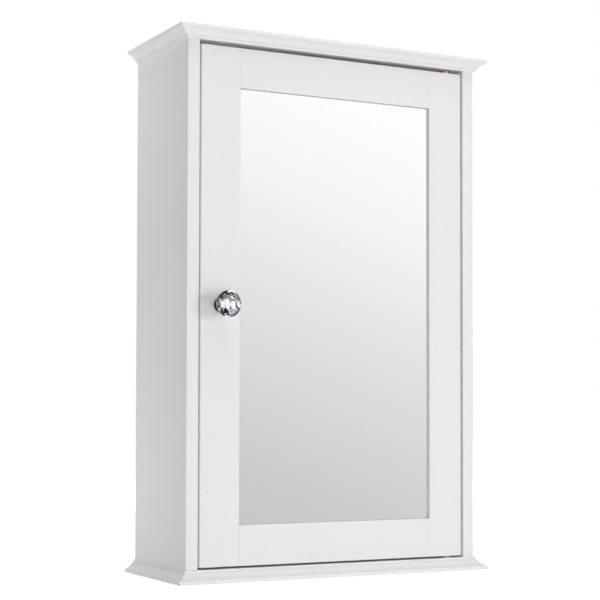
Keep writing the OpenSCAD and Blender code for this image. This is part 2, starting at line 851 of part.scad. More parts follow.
module door_panel() {
    color(board_back) translate([open_x0 - in_groove, panel_y, open_z0 - in_groove])
        cube([open_x1 - open_x0 + 2 * in_groove, panel_t, open_z1 - open_z0 + 2 * in_groove]);
}

module mirror_glass() {
    w = open_x1 - open_x0 - 2 * mirror_gap;
    h = open_z1 - open_z0 - 2 * mirror_gap;
    color("#cfd6d8") translate([open_x0 + mirror_gap, panel_y - tape_t, open_z0 + mirror_gap])
        rotate([90, 0, 0]) linear_extrude(mirror_t) difference() {
            square([w, h]);
            corner_cut(mirror_corner_r);
            translate([w, 0]) rotate(90) corner_cut(mirror_corner_r);
            translate([w, h]) rotate(180) corner_cut(mirror_corner_r);
            translate([0, h]) rotate(-90) corner_cut(mirror_corner_r);
        }
}

// Four strips of tape between the glass and the centre panel
module mirror_tape() {
    strip_l = (open_z1 - open_z0) / 2 - 2 * tape_inset;
    color("#f4f1e6")
        for (x = [open_x0 + tape_in, open_x1 - tape_in],
                z = [open_z0 + tape_inset, open_z1 - tape_inset - strip_l]) {
            translate([x - tape_w / 2, panel_y - tape_t, z]) cube([tape_w, tape_t, strip_l]);
        }
}

module at_knob() {
    translate([knob_x, front_y, knob_z]) rotate([90, 0, 0]) children();
}

// Turned metal base: a foot on the door, a hollow waist and a cup for the crystal
module knob_base() {
    waist_arc_r = foot_r - waist_r;
    cup_z = foot_h + waist_h;
    cup_in = seat_corner_r + cup_gap;
    cup_flare = cup_h / tan(pavilion_slope) / cos(22.5);
    color(chrome) at_knob() rotate_extrude() difference() {
        union() {
            difference() {
                square([foot_r, foot_h]);
                translate([foot_r, foot_h]) rotate(180) corner_cut(foot_h / 3);
            }
            difference() {
                translate([0, foot_h]) square([foot_r, waist_h]);
                for (z = [foot_h + waist_arc_r, cup_z - waist_arc_r]) {
                    translate([foot_r, z]) circle(r = waist_arc_r);
                }
                translate([waist_r, foot_h + waist_arc_r])
                    square([waist_arc_r + 1, waist_h - 2 * waist_arc_r]);
            }
            polygon([[0, cup_z], [foot_r, cup_z],
                [cup_in + cup_wall, seat_out], [cup_in + cup_wall + cup_flare, seat_out + cup_h],
                [0, seat_out + cup_h]]);
        }
        polygon([[-1, seat_out], [cup_in, seat_out], [cup_in + cup_flare, seat_out + cup_h],
            [cup_in + cup_flare, seat_out + cup_h + 1], [-1, seat_out + cup_h + 1]]);
        translate([-1, -1]) square([1 + knob_screw_r + play, knob_screw_in + end_gap + 1]);
    }
}

// All that lies behind a plane through [radius, height], which leans out by slope towards az
module behind_facet(az, slope, through) {
    far = 2 * crystal_r;
    rotate(az) translate([through[0], 0, through[1]]) rotate([0, slope, 0])
        translate([-far, -far, -2 * far]) cube(2 * far);
}

// Brilliant-cut crystal: eight main facets and eight stars, with sixteen small facets each side of
// the girdle
module knob_crystal() {
    color("#dfe8ee", 0.6) at_knob() intersection() {
        translate([0, 0, seat_out]) cylinder(r = crystal_r, h = table_out - seat_out);
        intersection_for(k = [0:7]) {
            rotate(45 * k) intersection() {
                behind_facet(0, crown_slope, [table_r, table_out]);
                behind_facet(22.5, star_slope, [table_r * cos(22.5), table_out]);
                behind_facet(0, 180 - pavilion_slope, [crystal_r, girdle_bottom]);
                behind_facet(11.25, upper_girdle_slope, [crystal_r, girdle_top]);
                behind_facet(-11.25, upper_girdle_slope, [crystal_r, girdle_top]);
                behind_facet(11.25, 180 - lower_girdle_slope, [crystal_r, girdle_bottom]);
                behind_facet(-11.25, 180 - lower_girdle_slope, [crystal_r, girdle_bottom]);
            }
        }
    }
}

module knob_screw() {
    color(zinc) translate([knob_x, door_back_y + knob_head_h, knob_z]) rotate([90, 0, 0])
        difference() {
            union() {
                cylinder(r = knob_head_r, h = knob_head_h);
                cylinder(r = knob_screw_r, h = knob_head_h + door_t + knob_screw_in);
            }
            for (turn = [0, 90]) {
                rotate(turn) cube([knob_head_r, 1.5 * recess_w, knob_head_h], center = true);
            }
        }
}

// The catch's block with its two ears, open at the front for the magnet and its poles
module catch_housing() {
    color("#f6f6f4") difference() {
        union() {
            translate([catch_x - catch_w / 2, catch_y + pole_proud, ceiling_z - catch_h])
                cube([catch_w, catch_d - pole_proud, catch_h]);
            translate([catch_x, catch_y + catch_d / 2, ceiling_z - ear_t / 2])
                cube([catch_w + 2 * ear_l, ear_w, ear_t], center = true);
        }
        translate([catch_x - pole_w / 2 - slip, catch_y - 1, magnet_z - pole_t - slip])
            cube([pole_w + 2 * slip, pole_d + 1 + slip, magnet_t + 2 * pole_t + 2 * slip]);
        at_ears() screw_hole(small_screw_r, small_head_r, small_head_h, small_screw_l);
    }
}

module catch_magnet() {
    color("#3a3a3c") translate([catch_x - pole_w / 2, catch_y + 2 * pole_proud, magnet_z])
        cube([pole_w, pole_d - 2 * pole_proud, magnet_t]);
}

module catch_pole_plates() {
    color(nickel) for (z = [magnet_z - pole_t, magnet_z + magnet_t]) {
        translate([catch_x - pole_w / 2, catch_y, z]) cube([pole_w, pole_d, pole_t]);
    }
}

// Stands on the two ears, with +z up into the top board
module at_ears() {
    for (side = [-1, 1]) {
        translate([catch_x + side * (catch_w + ear_l) / 2, catch_y + catch_d / 2, ceiling_z - ear_t])
            children();
    }
}

module catch_screws() {
    color(zinc) at_ears() screw(small_screw_r, small_head_r, small_head_h, small_screw_l);
}

// Stands on the strike plate's face, with +z into the door
module at_strike() {
    translate([catch_x, strike_face_y, strike_z + strike_h / 2]) rotate([90, 0, 0]) children();
}

module strike_plate() {
    color(zinc) difference() {
        translate([catch_x - strike_w / 2, door_back_y, strike_z])
            cube([strike_w, strike_t, strike_h]);
        at_strike() screw_hole(small_screw_r, small_head_r, small_head_h, small_screw_l);
    }
}

module strike_screw() {
    color(zinc) at_strike() screw(small_screw_r, small_head_r, small_head_h, small_screw_l);
}

top_board();
bottom_board();
side_panel_left();
side_panel_right();
back_panel();
hanging_rail();
shelf_upper();
shelf_lower();
shelf_pegs_upper();
shelf_pegs_lower();
hanger_plates();
hanger_screws();
cam_locks();
cam_bolts();
carcass_dowels();
rail_dowels();
pivot_bush_top();
pivot_bush_bottom();
catch_housing();
catch_magnet();
catch_pole_plates();
catch_screws();
door_stile_latch();
door_stile_hinge();
door_rail_top();
door_rail_bottom();
door_panel();
mirror_glass();
mirror_tape();
pivot_pin_top();
pivot_pin_bottom();
knob_base();
knob_crystal();
knob_screw();
strike_plate();
strike_screw();
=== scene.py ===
import math
import bpy
from mathutils import Matrix, Vector


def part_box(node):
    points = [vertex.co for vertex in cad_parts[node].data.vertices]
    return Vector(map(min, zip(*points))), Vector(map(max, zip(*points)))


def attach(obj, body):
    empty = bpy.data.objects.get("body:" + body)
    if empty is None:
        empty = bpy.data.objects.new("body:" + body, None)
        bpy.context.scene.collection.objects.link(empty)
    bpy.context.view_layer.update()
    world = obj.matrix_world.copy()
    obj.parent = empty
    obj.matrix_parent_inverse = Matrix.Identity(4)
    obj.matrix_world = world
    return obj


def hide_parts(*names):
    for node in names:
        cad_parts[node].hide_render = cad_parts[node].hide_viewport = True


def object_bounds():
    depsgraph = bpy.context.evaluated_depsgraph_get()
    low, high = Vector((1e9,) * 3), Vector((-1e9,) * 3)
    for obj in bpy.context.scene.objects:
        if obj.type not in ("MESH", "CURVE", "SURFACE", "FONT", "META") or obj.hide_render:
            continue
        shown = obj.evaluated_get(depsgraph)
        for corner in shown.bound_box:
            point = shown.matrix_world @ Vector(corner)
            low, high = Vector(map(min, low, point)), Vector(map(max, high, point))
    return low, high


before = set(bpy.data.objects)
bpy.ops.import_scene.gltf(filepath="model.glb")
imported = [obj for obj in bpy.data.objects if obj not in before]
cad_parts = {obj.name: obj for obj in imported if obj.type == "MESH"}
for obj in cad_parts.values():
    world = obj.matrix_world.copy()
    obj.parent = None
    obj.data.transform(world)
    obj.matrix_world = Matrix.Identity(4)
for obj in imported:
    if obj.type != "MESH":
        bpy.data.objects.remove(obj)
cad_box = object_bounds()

# The camera stands to the left of the cabinet, a little under its middle, and tips up by about
# two degrees. A small lens shift keeps the uprights nearly parallel, as in the photograph.
mm = 0.001
photo_width = 600
focal_px = 1555.06
lens_shift_px = 50
camera_at = Vector((-747.0, -1477.5, 163.3)) * mm
camera_turn = (Matrix.Rotation(math.radians(-27.613), 4, "Z")
               @ Matrix.Rotation(math.radians(90 + 2.224), 4, "X")
               @ Matrix.Rotation(math.radians(0.122), 4, "Z"))
camera = bpy.data.objects.new("camera", bpy.data.cameras.new("camera"))
camera.data.lens = camera.data.sensor_width * focal_px / photo_width
camera.data.shift_y = lens_shift_px / photo_width
camera.data.clip_start = 0.01
camera.matrix_world = Matrix.Translation(camera_at) @ camera_turn
bpy.context.scene.collection.objects.link(camera)
bpy.context.scene.camera = camera
bpy.context.scene.view_settings.view_transform = "Standard"

# The studio floor: pale painted board, wide enough to run out of every view. It shows nearly
# white to the camera, keeps the cabinet's soft shadow and throws a little light back up. Its glow
# to the camera is painted weaker near the cabinet, a painted shade round it. Mirror, metal and
# crystal don't see it: they show the studio's wall and panels.
floor_width = 14
floor_drop = 0.3 * mm
bpy.ops.object.select_all(action="DESELECT")
bpy.ops.mesh.primitive_plane_add(size=floor_width, location=(0, 0, -floor_drop))
floor = bpy.context.object
floor.name = "studio_floor"
floor_paint = bpy.data.materials.new("studio_floor")
floor_paint.use_nodes = True
nodes, links = floor_paint.node_tree.nodes, floor_paint.node_tree.links
floor_shader = nodes["Principled BSDF"]
floor_shader.inputs["Base Color"].default_value = (0.78, 0.78, 0.78, 1)
floor_shader.inputs["Roughness"].default_value = 0.9
floor_shader.inputs["Specular IOR Level"].default_value = 0.1
floor_shader.inputs["Emission Color"].default_value = (1, 1, 1, 1)
ray = nodes.new("ShaderNodeLightPath")
place = nodes.new("ShaderNodeTexCoord")
from_cabinet = nodes.new("ShaderNodeVectorMath")
from_cabinet.operation = "LENGTH"
links.new(place.outputs["Object"], from_cabinet.inputs[0])
# Painted shade: the glow the camera sees is 0.62 within 0.35 m of the cabinet and rises to full
# white at 1.5 m, whatever the lamps do.
painted_shade_r, pale_r = 0.35, 1.5
painted_shade_glow = 0.62
painted_shade_ramp = nodes.new("ShaderNodeMapRange")
painted_shade_ramp.inputs["From Min"].default_value = painted_shade_r
painted_shade_ramp.inputs["From Max"].default_value = pale_r
painted_shade_ramp.inputs["To Min"].default_value = painted_shade_glow
links.new(from_cabinet.outputs["Value"], painted_shade_ramp.inputs["Value"])
glow = nodes.new("ShaderNodeMath")
glow.operation = "MULTIPLY"
links.new(ray.outputs["Is Camera Ray"], glow.inputs[0])
links.new(painted_shade_ramp.outputs["Result"], glow.inputs[1])
bounced_share = 0.28
bounce = nodes.new("ShaderNodeMath")
bounce.operation = "MULTIPLY_ADD"
bounce.inputs[1].default_value = bounced_share
links.new(ray.outputs["Is Diffuse Ray"], bounce.inputs[0])
links.new(glow.outputs[0], bounce.inputs[2])
links.new(bounce.outputs[0], floor_shader.inputs["Emission Strength"])
floor.data.materials.append(floor_paint)
floor.visible_glossy = False
floor.visible_transmission = False

# The studio's surroundings: plain white behind the cabinet and an even soft fill on it. Mirror and
# metal show a pale wall, lightest high up on the right, that falls off evenly to grey. The crystal
# shows a dark room with soft panels in it.
world = bpy.data.worlds.new("studio")
world.use_nodes = True
bpy.context.scene.world = world
nodes, links = world.node_tree.nodes, world.node_tree.links
background = nodes["Background"]
direction = nodes.new("ShaderNodeTexCoord")
up_and_right = nodes.new("ShaderNodeVectorMath")
up_and_right.operation = "DOT_PRODUCT"
up_and_right.inputs[1].default_value = (0.5, 0, 1)
links.new(direction.outputs["Generated"], up_and_right.inputs[0])
wall_foot, wall_top = -0.26, 0.74
along_wall = nodes.new("ShaderNodeMapRange")
along_wall.inputs["From Min"].default_value = wall_foot
along_wall.inputs["From Max"].default_value = wall_top
links.new(up_and_right.outputs["Value"], along_wall.inputs["Value"])
wall = nodes.new("ShaderNodeValToRGB")
wall.color_ramp.elements[0].color = (0.4, 0.4, 0.4, 1)
wall.color_ramp.elements[1].color = (1, 1, 1, 1)
for way_up, grey in ((0.25, 0.47), (0.434, 0.597), (0.54, 0.745), (0.635, 0.914), (0.694, 0.99)):
    wall.color_ramp.elements.new(way_up).color = (grey, grey, grey, 1)
links.new(along_wall.outputs["Result"], wall.inputs["Fac"])
ray = nodes.new("ShaderNodeLightPath")
colour_a, colour_b, mixed = 6, 7, 2  # a Mix node's two colours going in, and the one coming out
faint_fill = (0.02, 0.02, 0.02, 1)
fill_or_wall = nodes.new("ShaderNodeMix")
fill_or_wall.data_type = "RGBA"
fill_or_wall.inputs[colour_a].default_value = faint_fill
links.new(ray.outputs["Is Glossy Ray"], fill_or_wall.inputs["Factor"])
links.new(wall.outputs["Color"], fill_or_wall.inputs[colour_b])
soft_panels = (((0.47, -0.88, 0.13), (0.8, 0.84, 0.88)),
               ((-0.08, -1, 0.06), (1.5, 1.48, 1.44)),
               ((0, -0.86, 0.51), (0.46, 0.5, 0.56)),
               ((0.58, -0.8, -0.15), (0.42, 0.43, 0.45)),
               ((0.16, -0.71, 0.69), (2.0, 2.3, 2.9)),
               ((-0.13, -0.52, -0.85), (2.6, 3.0, 3.6)),
               ((-0.15, -0.91, -0.39), (0.44, 0.42, 0.37)),
               ((-0.27, -0.74, 0.62), (0.7, 0.66, 0.6)),
               ((0.74, -0.67, 0.02), (0.5, 0.5, 0.52)),
               ((0.27, -0.96, -0.05), (0.62, 0.58, 0.53)),
               ((-0.38, -0.56, -0.74), (1.0, 1.06, 1.15)),
               ((-0.2, -0.92, 0.34), (1.2, 1.18, 1.12)),
               ((0.99, -0.1, 0.1), (1.2, 1.22, 1.25)),
               ((-0.98, -0.15, 0.15), (1.2, 1.22, 1.25)),
               ((-0.85, -0.5, 0.1), (0.9, 0.9, 0.9)),
               ((0.85, -0.3, 0.4), (0.8, 0.85, 0.9)),
               ((0, -0.1, 1), (1.5, 1.55, 1.6)),
               ((-0.8, 0.5, 0.2), (0.7, 0.7, 0.7)),
               ((0.8, 0.5, 0.2), (0.7, 0.7, 0.7)),
               ((0, 1, 0.1), (0.6, 0.6, 0.6)))
panel_edge, panel_middle = 0.962, 0.992
dark_wall = (0.008, 0.008, 0.01, 1)
room = None
for towards, colour in soft_panels:
    facing = nodes.new("ShaderNodeVectorMath")
    facing.operation = "DOT_PRODUCT"
    facing.inputs[1].default_value = Vector(towards).normalized()
    links.new(direction.outputs["Generated"], facing.inputs[0])
    panel = nodes.new("ShaderNodeMapRange")
    panel.interpolation_type = "SMOOTHSTEP"
    panel.inputs["From Min"].default_value = panel_edge
    panel.inputs["From Max"].default_value = panel_middle
    links.new(facing.outputs["Value"], panel.inputs["Value"])
    lit = nodes.new("ShaderNodeMix")
    lit.data_type = "RGBA"
    lit.blend_type = "ADD"
    lit.inputs[colour_a].default_value = dark_wall
    lit.inputs[colour_b].default_value = (*colour, 1)
    links.new(panel.outputs["Result"], lit.inputs["Factor"])
    if room:
        links.new(room.outputs[mixed], lit.inputs[colour_a])
    room = lit
in_crystal = nodes.new("ShaderNodeMix")
in_crystal.data_type = "RGBA"
links.new(ray.outputs["Is Transmission Ray"], in_crystal.inputs["Factor"])
links.new(fill_or_wall.outputs[mixed], in_crystal.inputs[colour_a])
links.new(room.outputs[mixed], in_crystal.inputs[colour_b])
shown = nodes.new("ShaderNodeMix")
shown.data_type = "RGBA"
shown.inputs[colour_b].default_value = (1, 1, 1, 1)
links.new(ray.outputs["Is Camera Ray"], shown.inputs["Factor"])
links.new(in_crystal.outputs[mixed], shown.inputs[colour_a])
links.new(shown.outputs[mixed], background.inputs["Color"])


# The lamps: the main soft box stands beside the camera and another far right, which throws the
# knob's soft shadow on the stile. One hangs overhead, a faint one lies low in front, a pair behind
# on the left grazes the side panel and one lights the back. None is seen itself.
def soft_box(name, at, width, watts):
    lamp = bpy.data.objects.new(name, bpy.data.lights.new(name, "AREA"))
    lamp.data.shape = "SQUARE"
    lamp.data.size = width
    lamp.data.energy = watts
    lamp.location = at
    lamp.rotation_euler = (middle - Vector(at)).to_track_quat("-Z", "Y").to_euler()
    lamp.visible_camera = False
    lamp.visible_glossy = False
    lamp.visible_transmission = False
    bpy.context.scene.collection.objects.link(lamp)


middle = (cad_box[0] + cad_box[1]) / 2
soft_box("main_box", (-0.84, -2.0, 0.0), 0.45, 19.8)
soft_box("right_box", (1.5, -2.4, 0.5), 0.95, 20.5)
soft_box("over_box", (0, -0.3, 1.5), 1.2, 13)
soft_box("low_box", (0.02, -0.48, 0.04), 0.3, 0.085)
soft_box("rim_box_high", (-0.44, 0.16, 0.62), 0.2, 0.52)
soft_box("rim_box_low", (-0.44, 0.16, 0.06), 0.2, 0.36)
soft_box("back_box", (0.9, 1.7, 0.8), 0.9, 20)


# Side panels and shelves: fibreboard, sawn to size, its edges rounded over, primed and sprayed with
# satin white lacquer. The film has a fine stipple, clouds a little, and is thin and warmer along
# the arrises. The shelves lie loose on their pegs.
def white_lacquer(name, colour=(0.87, 0.867, 0.853), sheen_from=0.34, sheen_to=0.46):
    lacquer = bpy.data.materials.new(name)
    lacquer.use_nodes = True
    nodes, links = lacquer.node_tree.nodes, lacquer.node_tree.links
    shader = nodes["Principled BSDF"]
    shader.inputs["Specular IOR Level"].default_value = 0.42
    place = nodes.new("ShaderNodeTexCoord")

    clouds = nodes.new("ShaderNodeTexNoise")
    clouds.inputs["Scale"].default_value = 9
    clouds.inputs["Detail"].default_value = 4
    links.new(place.outputs["Object"], clouds.inputs["Vector"])
    darker, lighter = 0.985, 1.012
    body = nodes.new("ShaderNodeMix")
    body.data_type = "RGBA"
    body.inputs[colour_a].default_value = (*[c * darker for c in colour], 1)
    body.inputs[colour_b].default_value = (*[c * lighter for c in colour], 1)
    links.new(clouds.outputs["Fac"], body.inputs["Factor"])

    arris_r = 0.7 * mm
    arris = nodes.new("ShaderNodeBevel")
    arris.samples = 4
    arris.inputs["Radius"].default_value = arris_r
    flat = nodes.new("ShaderNodeNewGeometry")
    alike = nodes.new("ShaderNodeVectorMath")
    alike.operation = "DOT_PRODUCT"
    links.new(arris.outputs["Normal"], alike.inputs[0])
    links.new(flat.outputs["Normal"], alike.inputs[1])
    just_turning, well_turned, wear = 0.995, 0.85, 0.45
    thin = nodes.new("ShaderNodeMapRange")
    thin.inputs["From Min"].default_value = just_turning
    thin.inputs["From Max"].default_value = well_turned
    thin.inputs["To Max"].default_value = wear
    links.new(alike.outputs["Value"], thin.inputs["Value"])
    primer = (0.83, 0.81, 0.76, 1)
    edged = nodes.new("ShaderNodeMix")
    edged.data_type = "RGBA"
    edged.inputs[colour_b].default_value = primer
    links.new(thin.outputs["Result"], edged.inputs["Factor"])
    links.new(body.outputs[mixed], edged.inputs[colour_a])
    links.new(edged.outputs[mixed], shader.inputs["Base Color"])

    drifts = nodes.new("ShaderNodeTexNoise")
    drifts.inputs["Scale"].default_value = 35
    links.new(place.outputs["Object"], drifts.inputs["Vector"])
    gloss = nodes.new("ShaderNodeMapRange")
    gloss.inputs["To Min"].default_value = sheen_from
    gloss.inputs["To Max"].default_value = sheen_to
    links.new(drifts.outputs["Fac"], gloss.inputs["Value"])
    links.new(gloss.outputs["Result"], shader.inputs["Roughness"])

    stipple = nodes.new("ShaderNodeTexNoise")
    stipple.inputs["Scale"].default_value = 700
    stipple.inputs["Detail"].default_value = 2
    links.new(place.outputs["Object"], stipple.inputs["Vector"])
    film = nodes.new("ShaderNodeBump")
    film.inputs["Strength"].default_value = 0.06
    film.inputs["Distance"].default_value = 0.1 * mm
    links.new(stipple.outputs["Fac"], film.inputs["Height"])
    links.new(arris.outputs["Normal"], film.inputs["Normal"])
    links.new(film.outputs["Normal"], shader.inputs["Normal"])
    return lacquer


def finish(node, material):
    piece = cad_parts[node]
    piece.data.materials.clear()
    piece.data.materials.append(material)


carcass_lacquer = white_lacquer("carcass_lacquer")
for node in ("side_panel_left", "side_panel_right", "shelf_upper", "shelf_lower"):
    finish(node, carcass_lacquer)

# Top board: a fibreboard slab with a moulding cut round its front and both ends, its corners
# mitred. It is sprayed together with the side panels.
finish("top_board", carcass_lacquer)

# Bottom board: the same board the other way up. Its lacquer is knocked off one front tip, down to
# the brown fibre.
low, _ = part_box("bottom_board")
chipped_lacquer = white_lacquer("chipped_lacquer")
nodes, links = chipped_lacquer.node_tree.nodes, chipped_lacquer.node_tree.links
shader = nodes["Principled BSDF"]
sound_colour = shader.inputs["Base Color"].links[0].from_socket
place = nodes.new("ShaderNodeTexCoord")
ragged = nodes.new("ShaderNodeTexNoise")
ragged.inputs["Scale"].default_value = 900
links.new(place.outputs["Object"], ragged.inputs["Vector"])
tip = low + Vector((0.4, 0.4, 0.9)) * mm
from_tip = nodes.new("ShaderNodeVectorMath")
from_tip.operation = "DISTANCE"
from_tip.inputs[1].default_value = tip
links.new(place.outputs["Object"], from_tip.inputs[0])
raggedness = 1.2 * mm
chip_r, chip_edge = 1.2 * mm, 0.3 * mm
torn = nodes.new("ShaderNodeMath")
torn.operation = "MULTIPLY_ADD"
torn.inputs[1].default_value = raggedness
links.new(ragged.outputs["Fac"], torn.inputs[0])
links.new(from_tip.outputs["Value"], torn.inputs[2])
chip = nodes.new("ShaderNodeMapRange")
chip.inputs["From Min"].default_value = chip_r + chip_edge
chip.inputs["From Max"].default_value = chip_r
links.new(torn.outputs[0], chip.inputs["Value"])
brown_fibre = (0.55, 0.43, 0.33, 1)
laid_bare = nodes.new("ShaderNodeMix")
laid_bare.data_type = "RGBA"
laid_bare.inputs[colour_b].default_value = brown_fibre
links.new(chip.outputs["Result"], laid_bare.inputs["Factor"])
links.new(sound_colour, laid_bare.inputs[colour_a])
links.new(laid_bare.outputs[mixed], shader.inputs["Base Color"])
finish("bottom_board", chipped_lacquer)

# Back panel and hanging rail: thin fibreboard in grooves and a thicker strip behind it, both with
# one coat of matt white paint.
board_paint = white_lacquer("board_paint", colour=(0.81, 0.8, 0.78), sheen_from=0.6, sheen_to=0.75)
for node in ("back_panel", "hanging_rail"):
    finish(node, board_paint)


# Cam fittings: steel bolts screwed into the boards and cast zinc locks in the side panels that
# draw them tight. The castings are duller and coarser than the plated bolts.
def metal(name, colour, rough_from, rough_to, grain=900, relief=0.05):
    plated = bpy.data.materials.new(name)
    plated.use_nodes = True
    nodes, links = plated.node_tree.nodes, plated.node_tree.links
    shader = nodes["Principled BSDF"]
    shader.inputs["Metallic"].default_value = 1
    place = nodes.new("ShaderNodeTexCoord")
    patches = nodes.new("ShaderNodeTexNoise")
    patches.inputs["Scale"].default_value = 220
    patches.inputs["Detail"].default_value = 3
    links.new(place.outputs["Object"], patches.inputs["Vector"])
    tarnish = 0.88
    tint = nodes.new("ShaderNodeMix")
    tint.data_type = "RGBA"
    tint.inputs[colour_a].default_value = (*[c * tarnish for c in colour], 1)
    tint.inputs[colour_b].default_value = (*colour, 1)
    links.new(patches.outputs["Fac"], tint.inputs["Factor"])
    links.new(tint.outputs[mixed], shader.inputs["Base Color"])
    dull = nodes.new("ShaderNodeMapRange")
    dull.inputs["To Min"].default_value = rough_from
    dull.inputs["To Max"].default_value = rough_to
    links.new(patches.outputs["Fac"], dull.inputs["Value"])
    links.new(dull.outputs["Result"], shader.inputs["Roughness"])
    lines = nodes.new("ShaderNodeTexNoise")
    lines.inputs["Scale"].default_value = grain
    links.new(place.outputs["Object"], lines.inputs["Vector"])
    skin = nodes.new("ShaderNodeBump")
    skin.inputs["Strength"].default_value = relief
    skin.inputs["Distance"].default_value = 0.05 * mm
    links.new(lines.outputs["Fac"], skin.inputs["Height"])
    links.new(skin.outputs["Normal"], shader.inputs["Normal"])
    return plated


cast_zinc = metal("cast_zinc", (0.56, 0.57, 0.59), 0.38, 0.55, grain=500, relief=0.15)
finish("cam_locks", cast_zinc)
bright_zinc = metal("bright_zinc", (0.72, 0.73, 0.75), 0.22, 0.4)
finish("cam_bolts", bright_zinc)


# Dowels: turned from beech with the grain along them and glued between the boards, beside the cam
# fittings and in the ends of the hanging rail.
def plain_stuff(name, colour, other, rough, scale=60, relief=0.1):
    stuff = bpy.data.materials.new(name)
    stuff.use_nodes = True
    nodes, links = stuff.node_tree.nodes, stuff.node_tree.links
    shader = nodes["Principled BSDF"]
    shader.inputs["Roughness"].default_value = rough
    place = nodes.new("ShaderNodeTexCoord")
    grain = nodes.new("ShaderNodeTexNoise")
    grain.inputs["Scale"].default_value = scale
    grain.inputs["Detail"].default_value = 5
    links.new(place.outputs["Object"], grain.inputs["Vector"])
    tint = nodes.new("ShaderNodeMix")
    tint.data_type = "RGBA"
    tint.inputs[colour_a].default_value = (*colour, 1)
    tint.inputs[colour_b].default_value = (*other, 1)
    links.new(grain.outputs["Fac"], tint.inputs["Factor"])
    links.new(tint.outputs[mixed], shader.inputs["Base Color"])
    skin = nodes.new("ShaderNodeBump")
    skin.inputs["Strength"].default_value = relief
    skin.inputs["Distance"].default_value = 0.1 * mm
    links.new(grain.outputs["Fac"], skin.inputs["Height"])
    links.new(skin.outputs["Normal"], shader.inputs["Normal"])
    return stuff


beech = plain_stuff("beech", (0.55, 0.36, 0.19), (0.68, 0.49, 0.29), 0.6, scale=300)
for node in ("carcass_dowels", "rail_dowels"):
    finish(node, beech)

# Hanging plates: zinc-plated steel, stamped with a keyhole each and screwed into housings in the
# hanging rail, so that the cabinet drops on to two wall screws.
for node in ("hanger_plates", "hanger_screws"):
    finish(node, bright_zinc)

# Shelf pegs: nickel-plated steel spoons, four to a shelf. Their pins are pushed into the holes
# drilled in the side panels, and the shelf lies on their flats.
nickel = metal("nickel", (0.8, 0.78, 0.73), 0.15, 0.3)
for node in ("shelf_pegs_upper", "shelf_pegs_lower"):
    finish(node, nickel)

# Magnetic catch: a white plastic housing screwed under the top board. It holds a ferrite magnet
# between two nickel-plated steel cheeks.
catch_plastic = plain_stuff("catch_plastic", (0.82, 0.82, 0.8), (0.86, 0.86, 0.84), 0.42)
finish("catch_housing", catch_plastic)
ferrite = plain_stuff("ferrite", (0.03, 0.03, 0.032), (0.06, 0.06, 0.065), 0.55, scale=900)
finish("catch_magnet", ferrite)
finish("catch_pole_plates", nickel)
finish("catch_screws", bright_zinc)

# Pivots: bright steel pins in the door's ends turn in flanged bronze bushes pressed into the two
# boards. The bushes were sprayed over with the boards. The paint has worn off round each pin, and
# most of all off the front of the upper flange.
pin_steel = metal("pin_steel", (0.96, 0.96, 0.94), 0.4, 0.5)
pin_steel.node_tree.nodes["Principled BSDF"].inputs["Metallic"].default_value = 0.3
for node in ("pivot_pin_top", "pivot_pin_bottom"):
    finish(node, pin_steel)
low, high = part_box("pivot_pin_top")
pin_at = (low + high) / 2
worn_towards = Vector((-0.46, -0.89, 0))
overspray = (0.86, 0.86, 0.845, 1)
paint_edge = 0.1 * mm
for node, off_axis, bare_r in (("pivot_bush_top", 3 * mm, 4.2 * mm),
                               ("pivot_bush_bottom", 0.6 * mm, 3.7 * mm)):
    bronze = metal(node + "_bronze", (0.42, 0.19, 0.08), 0.35, 0.55, grain=1400, relief=0.2)
    nodes, links = bronze.node_tree.nodes, bronze.node_tree.links
    shader = nodes["Principled BSDF"]
    bare_colour = shader.inputs["Base Color"].links[0].from_socket
    place = nodes.new("ShaderNodeTexCoord")
    from_axis = nodes.new("ShaderNodeVectorMath")
    from_axis.operation = "SUBTRACT"
    from_axis.inputs[1].default_value = pin_at + off_axis * worn_towards
    links.new(place.outputs["Object"], from_axis.inputs[0])
    level = nodes.new("ShaderNodeVectorMath")
    level.operation = "MULTIPLY"
    level.inputs[1].default_value = (1, 1, 0)
    links.new(from_axis.outputs["Vector"], level.inputs[0])
    away = nodes.new("ShaderNodeVectorMath")
    away.operation = "LENGTH"
    links.new(level.outputs["Vector"], away.inputs[0])
    painted = nodes.new("ShaderNodeMapRange")
    painted.inputs["From Min"].default_value = bare_r - paint_edge
    painted.inputs["From Max"].default_value = bare_r + paint_edge
    links.new(away.outputs["Value"], painted.inputs["Value"])
    rim = nodes.new("ShaderNodeMix")
    rim.data_type = "RGBA"
    rim.inputs[colour_b].default_value = overspray
    links.new(painted.outputs["Result"], rim.inputs["Factor"])
    links.new(bare_colour, rim.inputs[colour_a])
    links.new(rim.outputs[mixed], shader.inputs["Base Color"])
    bare = nodes.new("ShaderNodeMath")
    bare.operation = "SUBTRACT"
    bare.inputs[0].default_value = 1
    links.new(painted.outputs["Result"], bare.inputs[1])
    links.new(bare.outputs[0], shader.inputs["Metallic"])
    finish(node, bronze)


# Door frame: two stiles and two rails of fibreboard, tongued and glued, then sprayed white with the
# joints closed, so that only their fine lines are left.
door_lacquer = white_lacquer("door_lacquer", colour=(0.865, 0.863, 0.849))
for node in ("door_stile_latch", "door_stile_hinge", "door_rail_top", "door_rail_bottom"):
    finish(node, door_lacquer)

# Door panel: thin board in the frame's grooves, painted matt like the back. Four strips of foam
# tape on its face carry the mirror.
finish("door_panel", board_paint)
foam_tape = plain_stuff("foam_tape", (0.82, 0.8, 0.72), (0.88, 0.87, 0.8), 0.85, scale=1500)
finish("mirror_tape", foam_tape)

# Strike plate: a square of zinc-plated steel behind the latch stile that the catch draws to. Its
# screw and the knob's screw are plated alike.
for node in ("strike_plate", "strike_screw", "knob_screw"):
    finish(node, bright_zinc)

